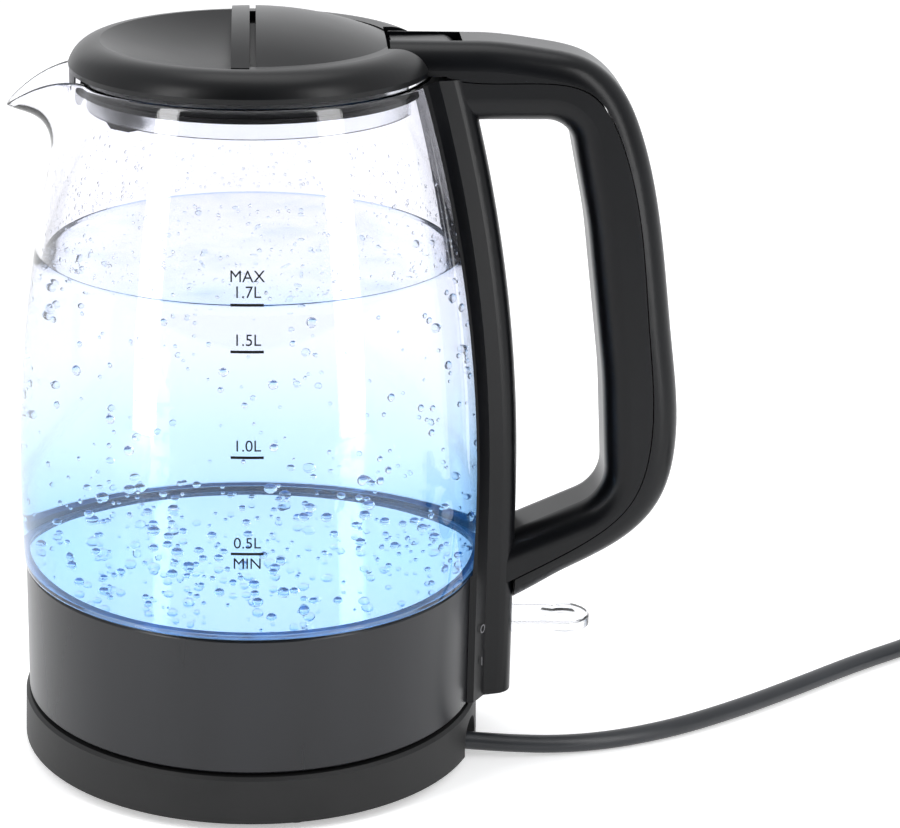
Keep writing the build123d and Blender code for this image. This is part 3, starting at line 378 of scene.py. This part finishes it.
NODE_MATERIALS = {
    "base_housing": base_grey,
    "base_bottom_cover": base_grey,
    "base_feet": rubber,
    "base_screws": steel,
    "base_connector_hub": black,
    "base_contact_rings": brass,
    "cord_gland": black,
    "plug_strain_relief": cord_black,
    "plug_body": base_grey,
    "plug_pins": nickel,
    "plug_earth_clips": nickel,
    "connector_ring": black,
    "connector_contacts": brass,
    "collar_shell": collar_grey,
    "underside_cover": base_grey,
    "underside_screws": steel,
    "heater_plate": painted_led_plate_material(),
    "heat_spreader": aluminium,
    "heating_element": steel,
    "glass_seal": silicone,
    "led_board": board_green,
    "leds": led_material(),
    "control_unit": control_white,
    "bimetal_disc": steel,
    "internal_wires": wire_red,
    "handle_outer_shell": black,
    "handle_inner_shell": black,
    "handle_screw": steel,
    "steam_tube": silicone,
    "lid_hinge_pin": steel,
    "lever_pivot_pin": steel,
    "rocker_pin": steel,
    "lid_shell": lid_black,
    "lid_cap": lid_black,
    "lid_skirt": skirt_plastic,
    "lid_seal": rubber,
    "lid_inner_plate": lid_black,
    "lid_screws": steel,
    "lid_latch": lid_black,
    "lid_latch_window": skirt_plastic,
    "switch_lever": clear_plastic,
    "trip_rocker": control_white,
}
SMOOTH_ANGLE = math.radians(32.0)
for node_name, node_material in NODE_MATERIALS.items():
    mesh = nodes[node_name].data
    mesh.materials.clear()
    mesh.materials.append(node_material)
    mesh.shade_smooth()
    mesh.set_sharp_from_angle(angle=SMOOTH_ANGLE)

# ------------------------------------------------------------------ shapes worked out from the jug

BELLY_R = 75.3
BELLY_Z = 89.0
SAG = 0.00101
WALL = 2.8
RIM_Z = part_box("glass_jug")[1].z / MM
NECK_R = 71.5
SHOULDER_Z = 64.7
BOTTOM_Z = 57.2


def outer_radius(z):
    """Outer radius of the jug in millimetres at height z in millimetres."""
    return BELLY_R - SAG * (z - BELLY_Z) ** 2


def bezier(poles, t):
    """Point at t on a Bezier curve of any degree."""
    points = [Vector(p) for p in poles]
    while len(points) > 1:
        points = [a.lerp(b, t) for a, b in zip(points, points[1:])]
    return points[0]


SPOUT_START_Z = 192.0
SPOUT_HALF_ANGLE = math.radians(27.0)
SPOUT_OUTER = [(64.6, 192.0), (61.6, 203.0), (60.4, 214.5), (72.0, 211.0), (77.0, 215.0)]
SPOUT_INNER = [(61.8, 192.0), (58.8, 204.0), (58.4, 216.6), (69.5, 213.6), (75.2, 215.4)]


def spout_weight(azimuth):
    """1 along the spout's middle, falling to 0 at its sides."""
    away = abs(math.remainder(azimuth - math.pi, 2 * math.pi)) / SPOUT_HALF_ANGLE
    return max(0.0, 1.0 - away * away) ** 3.3


def wall_point(azimuth, z, inset, poles):
    """Point of the jug's wall in millimetres; near the spout the wall bends along its poles."""
    radius = outer_radius(z) - inset
    height = z
    if z > SPOUT_START_Z:
        weight = spout_weight(azimuth)
        drawn = bezier(poles, (z - SPOUT_START_Z) / (RIM_Z - SPOUT_START_Z))
        radius += weight * (drawn[0] - radius)
        height += weight * weight * (drawn[1] - height)
    return (radius * math.cos(azimuth), radius * math.sin(azimuth), height)


def lathe(name, rows, segments, material, closed=True):
    """Mesh from rows, each a function of azimuth that gives a point in millimetres."""
    points = []
    for row in rows:
        for step in range(segments):
            x, y, z = row(2 * math.pi * step / segments)
            points.append((x * MM, y * MM, z * MM))
    faces = []
    count = len(rows)
    last = count if closed else count - 1
    for row in range(last):
        for step in range(segments):
            after = (step + 1) % segments
            a, b = row * segments, (row + 1) % count * segments
            faces.append((a + step, a + after, b + after, b + step))
    mesh = bpy.data.meshes.new(name)
    mesh.from_pydata(points, [], faces)
    mesh.materials.append(material)
    mesh.shade_smooth()
    piece = bpy.data.objects.new(name, mesh)
    scene.collection.objects.link(piece)
    return piece


def ring_row(radius, z):
    return lambda azimuth: (radius * math.cos(azimuth), radius * math.sin(azimuth), z)


def wall_row(z, inset, poles):
    return lambda azimuth: wall_point(azimuth, z, inset, poles)


def rim_row(share, lift):
    """Rounded rim between the outer and the inner wall."""

    def place(azimuth):
        outer = Vector(wall_point(azimuth, RIM_Z - 0.9, 0.0, SPOUT_OUTER))
        inner = Vector(wall_point(azimuth, RIM_Z - 0.9, WALL, SPOUT_INNER))
        point = outer.lerp(inner, share)
        return (point.x, point.y, point.z + lift)

    return place


JUG_SEGMENTS = 256
wall_heights = [SHOULDER_Z + 1.2 + 4.0 * k for k in range(33)]
wall_heights += [197.0 + 1.25 * k for k in range(22)] + [RIM_Z - 0.9]
jug_rows = [ring_row(NECK_R - WALL, BOTTOM_Z + 0.6), ring_row(NECK_R - WALL + 0.6, BOTTOM_Z)]
jug_rows += [ring_row(NECK_R - 0.6, BOTTOM_Z), ring_row(NECK_R, BOTTOM_Z + 0.6)]
jug_rows += [ring_row(NECK_R, SHOULDER_Z - 0.6), ring_row(NECK_R + 0.5, SHOULDER_Z - 0.2)]
jug_rows += [ring_row(outer_radius(SHOULDER_Z) - 0.9, SHOULDER_Z)]
jug_rows += [ring_row(outer_radius(SHOULDER_Z) - 0.1, SHOULDER_Z + 0.5)]
jug_rows += [wall_row(z, 0.0, SPOUT_OUTER) for z in wall_heights]
jug_rows += [rim_row(0.12, 0.55), rim_row(0.35, 0.88), rim_row(0.65, 0.88), rim_row(0.88, 0.55)]
jug_rows += [wall_row(z, WALL, SPOUT_INNER) for z in reversed(wall_heights)]
jug = lathe("jug_glass_wall", jug_rows, JUG_SEGMENTS, jug_glass)
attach(jug, "kettle")
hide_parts("glass_jug")

# ------------------------------------------------------------------ water, bubbles and droplets

WATER_TOP_Z = 168.4
WATER_BOTTOM_Z = 63.9
OVERLAP = 0.25
WAVE_HEIGHT = 0.9
SWELL_SCALE = 0.055
SWELL_SEED = 3.7
CHOP_SCALE = 0.16
CHOP_SEED = 9.1
CHOP_SHARE = 0.4
WALL_BUBBLES = 330
PLATE_BUBBLES = 190
DROPLETS = 1500
DRAW_SEED = 17


def water_wall_radius(z):
    return outer_radius(z) - WALL + OVERLAP


def ruffled(radius, z):
    """Water surface ring with low waves from the rising bubbles."""

    def place(azimuth):
        x, y = radius * math.cos(azimuth), radius * math.sin(azimuth)
        swell = noise.noise(Vector((x * SWELL_SCALE, y * SWELL_SCALE, SWELL_SEED)))
        chop = noise.noise(Vector((x * CHOP_SCALE, y * CHOP_SCALE, CHOP_SEED)))
        return (x, y, z + WAVE_HEIGHT * (swell + CHOP_SHARE * chop))

    return place


water_rows = [ring_row(r, WATER_BOTTOM_Z) for r in (0.05, 20.0, 40.0, 60.0, 67.2, 68.2)]
water_rows += [ring_row(68.45, SHOULDER_Z - 0.4)]
water_rows += [ring_row(water_wall_radius(SHOULDER_Z + 1.5), SHOULDER_Z + 1.5)]
water_rows += [ring_row(water_wall_radius(70.0 + 5.0 * k), 70.0 + 5.0 * k) for k in range(20)]
water_rows += [ring_row(water_wall_radius(WATER_TOP_Z), WATER_TOP_Z + 0.9)]
water_rows += [ring_row(water_wall_radius(WATER_TOP_Z) - 0.7, WATER_TOP_Z + 0.3)]
water_rows += [ruffled(water_wall_radius(WATER_TOP_Z) - 2.0 - 4.0 * k, WATER_TOP_Z) for k in range(16)]
water_rows += [ring_row(0.05, WATER_TOP_Z)]
water = lathe("water", water_rows, 128, water_material(), closed=False)
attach(water, "kettle")


def blob_cloud(name, places, material, flatten=0.55):
    """One mesh of small drops: squashed, slightly uneven balls. Each place is centre, radius, normal."""
    template = bpy.data.meshes.new("drop_template")
    form = bmesh.new()
    bmesh.ops.create_icosphere(form, subdivisions=2, radius=1.0)
    form.to_mesh(template)
    form.free()
    points, faces = [], []
    for index, (centre, radius, normal) in enumerate(places):
        start = len(points)
        for vertex in template.vertices:
            offset = vertex.co * (1.0 + 0.12 * noise.noise(vertex.co * 1.3 + Vector((index * 1.7, 0, 0))))
            along = offset.dot(normal)
            offset = offset - normal * along * (1.0 - flatten)
            points.append(tuple((centre + offset * radius) * MM))
        faces += [tuple(start + v for v in polygon.vertices) for polygon in template.polygons]
    bpy.data.meshes.remove(template)
    mesh = bpy.data.meshes.new(name)
    mesh.from_pydata(points, [], faces)
    mesh.materials.append(material)
    mesh.shade_smooth()
    piece = bpy.data.objects.new(name, mesh)
    scene.collection.objects.link(piece)
    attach(piece, "kettle")
    return piece


rng = random.Random(DRAW_SEED)
bubble_material = clear("bubble", (0.90, 0.95, 1.0), 1.32, (0.0, 0.02))
drop_material = clear("condensation", (0.97, 0.98, 1.0), 1.33, (0.0, 0.05))


def on_wall(azimuth, z, inset):
    radius = outer_radius(z) - WALL - inset
    normal = Vector((math.cos(azimuth), math.sin(azimuth), 0.0))
    return Vector((radius * normal.x, radius * normal.y, z)), normal


bubbles = []
for k in range(WALL_BUBBLES):
    z = 66.0 + 98.0 * rng.random() ** 0.8
    size = rng.choice((0.35, 0.5, 0.5, 0.7, 0.9, 1.3)) * (1.0 + 0.4 * rng.random())
    centre, normal = on_wall(rng.uniform(0, 2 * math.pi), z, size * 0.9 + 0.3 + 4.0 * rng.random() ** 3)
    bubbles.append((centre, size, normal))
for k in range(PLATE_BUBBLES):
    size = 0.6 + 1.5 * rng.random() ** 2
    reach = 64.0 * math.sqrt(rng.random())
    azimuth = rng.uniform(0, 2 * math.pi)
    centre = Vector((reach * math.cos(azimuth), reach * math.sin(azimuth), 65.5 + 18.0 * rng.random() ** 2))
    bubbles.append((centre, size, Vector((0, 0, 1))))
blob_cloud("bubbles", bubbles, bubble_material, 0.8)

droplets = []
for k in range(DROPLETS):
    z = 171.0 + 27.0 * rng.random() ** 1.5
    size = 0.16 + 0.42 * rng.random() ** 3
    centre, normal = on_wall(rng.uniform(0, 2 * math.pi), z, -0.02)
    droplets.append((centre, size, normal))
blob_cloud("condensation", droplets, drop_material, 0.5)

# ------------------------------------------------------------------ printed scale and symbols

# The lines stand at 1.7, 1.5, 1.0 and 0.5 litres, from the top one down.
MARK_CENTRE_X = -1.2
MARK_THICKNESS = 0.05
LETTER_SIZE = 4.9
SYMBOL_SIZE = 4.2
LINE_WIDTH = 9.9
LINE_THICKNESS = 0.8
LINE_HEIGHTS = (169.8, 156.0, 124.0, 93.6)


def text_mesh(text, size):
    """Flat outline mesh of a text, centred, in millimetres."""
    curve = bpy.data.curves.new("text", "FONT")
    curve.body = text
    curve.size = size
    curve.align_x = "CENTER"
    curve.align_y = "CENTER"
    curve.extrude = MARK_THICKNESS
    holder = bpy.data.objects.new("text", curve)
    scene.collection.objects.link(holder)
    bpy.context.view_layer.update()
    mesh = bpy.data.meshes.new_from_object(holder.evaluated_get(bpy.context.evaluated_depsgraph_get()))
    bpy.data.objects.remove(holder)
    return mesh


def bar_mesh(width, height):
    """Rounded printed bar, in millimetres."""
    mesh = bpy.data.meshes.new("bar")
    form = bmesh.new()
    steps = 24
    columns = [(k / steps - 0.5) * width for k in range(steps + 1)]
    lower = [form.verts.new((x, -height / 2, z)) for z in (-MARK_THICKNESS, MARK_THICKNESS) for x in columns]
    upper = [form.verts.new((x, height / 2, z)) for z in (-MARK_THICKNESS, MARK_THICKNESS) for x in columns]
    n = steps + 1
    for k in range(steps):
        form.faces.new((lower[k], lower[k + 1], lower[n + k + 1], lower[n + k]))
        form.faces.new((upper[k + 1], upper[k], upper[n + k], upper[n + k + 1]))
        form.faces.new((lower[n + k], lower[n + k + 1], upper[n + k + 1], upper[n + k]))
        form.faces.new((lower[k + 1], lower[k], upper[k], upper[k + 1]))
    for k in (0, steps):
        form.faces.new((lower[k], lower[n + k], upper[n + k], upper[k]))
    bmesh.ops.recalc_face_normals(form, faces=form.faces)
    form.to_mesh(mesh)
    form.free()
    return mesh


def print_on_jug(name, mesh, z):
    """Wraps a flat mesh onto the jug's front at height z, in millimetres."""
    for vertex in mesh.vertices:
        x, y, depth = vertex.co
        height = z + y
        radius = outer_radius(height) + MARK_THICKNESS + depth
        azimuth = -math.pi / 2 + (MARK_CENTRE_X + x) / radius
        vertex.co = Vector((radius * math.cos(azimuth), radius * math.sin(azimuth), height)) * MM
    mesh.materials.clear()
    mesh.materials.append(print_black)
    piece = bpy.data.objects.new(name, mesh)
    scene.collection.objects.link(piece)
    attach(piece, "kettle")


SCALE_TEXTS = (
    ("mark_max", "MAX", 178.0),
    ("mark_1.7", "1.7L", 173.4),
    ("mark_1.5", "1.5L", 159.3),
    ("mark_1.0", "1.0L", 127.4),
    ("mark_0.5", "0.5L", 96.9),
    ("mark_min", "MIN", 90.3),
)
for mark_name, mark_text, mark_z in SCALE_TEXTS:
    print_on_jug(mark_name, text_mesh(mark_text, LETTER_SIZE), mark_z)
for index, line_z in enumerate(LINE_HEIGHTS):
    print_on_jug(f"mark_line_{index}", bar_mesh(LINE_WIDTH, LINE_THICKNESS), line_z)

CHEEK_PLACE = Vector((75.4, -19.6, 0.0))
CHEEK_NORMAL = Vector((0.85, -0.53, 0.0)).normalized()
CHEEK_ALONG = Vector((0.53, 0.85, 0.0)).normalized()
for symbol_name, symbol_text, symbol_z in (("symbol_off", "O", 44.7), ("symbol_on", "I", 33.2)):
    symbol = text_mesh(symbol_text, SYMBOL_SIZE)
    for vertex in symbol.vertices:
        x, y, depth = vertex.co
        place = CHEEK_PLACE + CHEEK_ALONG * x + CHEEK_NORMAL * (0.02 + depth) + Vector((0, 0, symbol_z + y))
        vertex.co = place * MM
    symbol.materials.clear()
    symbol.materials.append(print_grey)
    symbol_piece = bpy.data.objects.new(symbol_name, symbol)
    scene.collection.objects.link(symbol_piece)
    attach(symbol_piece, "kettle")

# ------------------------------------------------------------------ power cord

CORD_DIAMETER = 0.006
FLOOR_Z = 0.00305
route = [
    (0.0640, -0.0214, 0.0064),
    (0.0870, -0.0209, 0.0039),
    (0.1120, -0.0182, FLOOR_Z),
    (0.1380, -0.0086, FLOOR_Z),
    (0.1635, 0.0072, FLOOR_Z),
    (0.1900, 0.0272, FLOOR_Z),
    (0.2130, 0.0456, FLOOR_Z),
    (0.2360, 0.0614, FLOOR_Z),
    (0.2530, 0.0750, FLOOR_Z),
]
COIL_CENTRE = Vector((0.2882, 0.0536))
COIL_TURNS = 2.29
COIL_POINTS_PER_TURN = 14
COIL_START = math.radians(124.0)
coil_count = round(COIL_TURNS * COIL_POINTS_PER_TURN)
for step in range(coil_count + 1):
    turned = step / COIL_POINTS_PER_TURN
    coil_angle = COIL_START - 2 * math.pi * turned
    layer = min(1.0, max(0.0, (turned - 1.75) / 0.35))
    inward = min(1.0, max(0.0, (turned - 0.7) / 0.35)) - 0.9 * layer
    coil_radius = 0.0368 - 0.0062 * inward
    route.append((
        COIL_CENTRE.x + coil_radius * math.cos(coil_angle),
        COIL_CENTRE.y + coil_radius * math.sin(coil_angle),
        FLOOR_Z + 0.0058 * layer,
    ))
route += [
    (0.3262, 0.0560, 0.0086),
    (0.3285, 0.0455, 0.0100),
    (0.3310, 0.0330, 0.0142),
]
cord_curve = bpy.data.curves.new("cord", "CURVE")
cord_curve.dimensions = "3D"
cord_curve.bevel_depth = CORD_DIAMETER / 2
cord_curve.bevel_resolution = 8
cord_curve.use_fill_caps = True
cord_curve.resolution_u = 12
spline = cord_curve.splines.new("NURBS")
spline.points.add(len(route) - 1)
for point, place in zip(spline.points, route):
    point.co = (*place, 1.0)
spline.order_u = 3
spline.use_endpoint_u = True
cord_curve.materials.append(cord_black)
cord = bpy.data.objects.new("cord", cord_curve)
scene.collection.objects.link(cord)
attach(cord, "power_base")
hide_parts("power_cord", "power_cord_coil", "power_cord_tail")

# ------------------------------------------------------------------ floor

floor_material, floor_tree, floor_shader = new_material("floor_paper")
floor_cloud = object_noise(floor_tree, 6.0)
floor_tree.links.new(
    ramp_between(floor_tree, floor_cloud.outputs["Fac"], (0.93, 0.93, 0.93), (0.95, 0.95, 0.95)),
    floor_shader.inputs["Base Color"],
)
floor_shader.inputs["Roughness"].default_value = 0.9
floor_shader.inputs["Emission Color"].default_value = (1.0, 1.0, 1.0, 1.0)
floor_shader.inputs["Emission Strength"].default_value = 0.38
floor_shader.inputs["Specular IOR Level"].default_value = 0.1
floor_mesh = bpy.data.meshes.new("floor")
floor_mesh.from_pydata([(-4, -4, 0), (4, -4, 0), (4, 4, 0), (-4, 4, 0)], [], [(0, 1, 2, 3)])
floor_mesh.materials.append(floor_material)
floor = bpy.data.objects.new("floor", floor_mesh)
scene.collection.objects.link(floor)

bpy.context.view_layer.update()
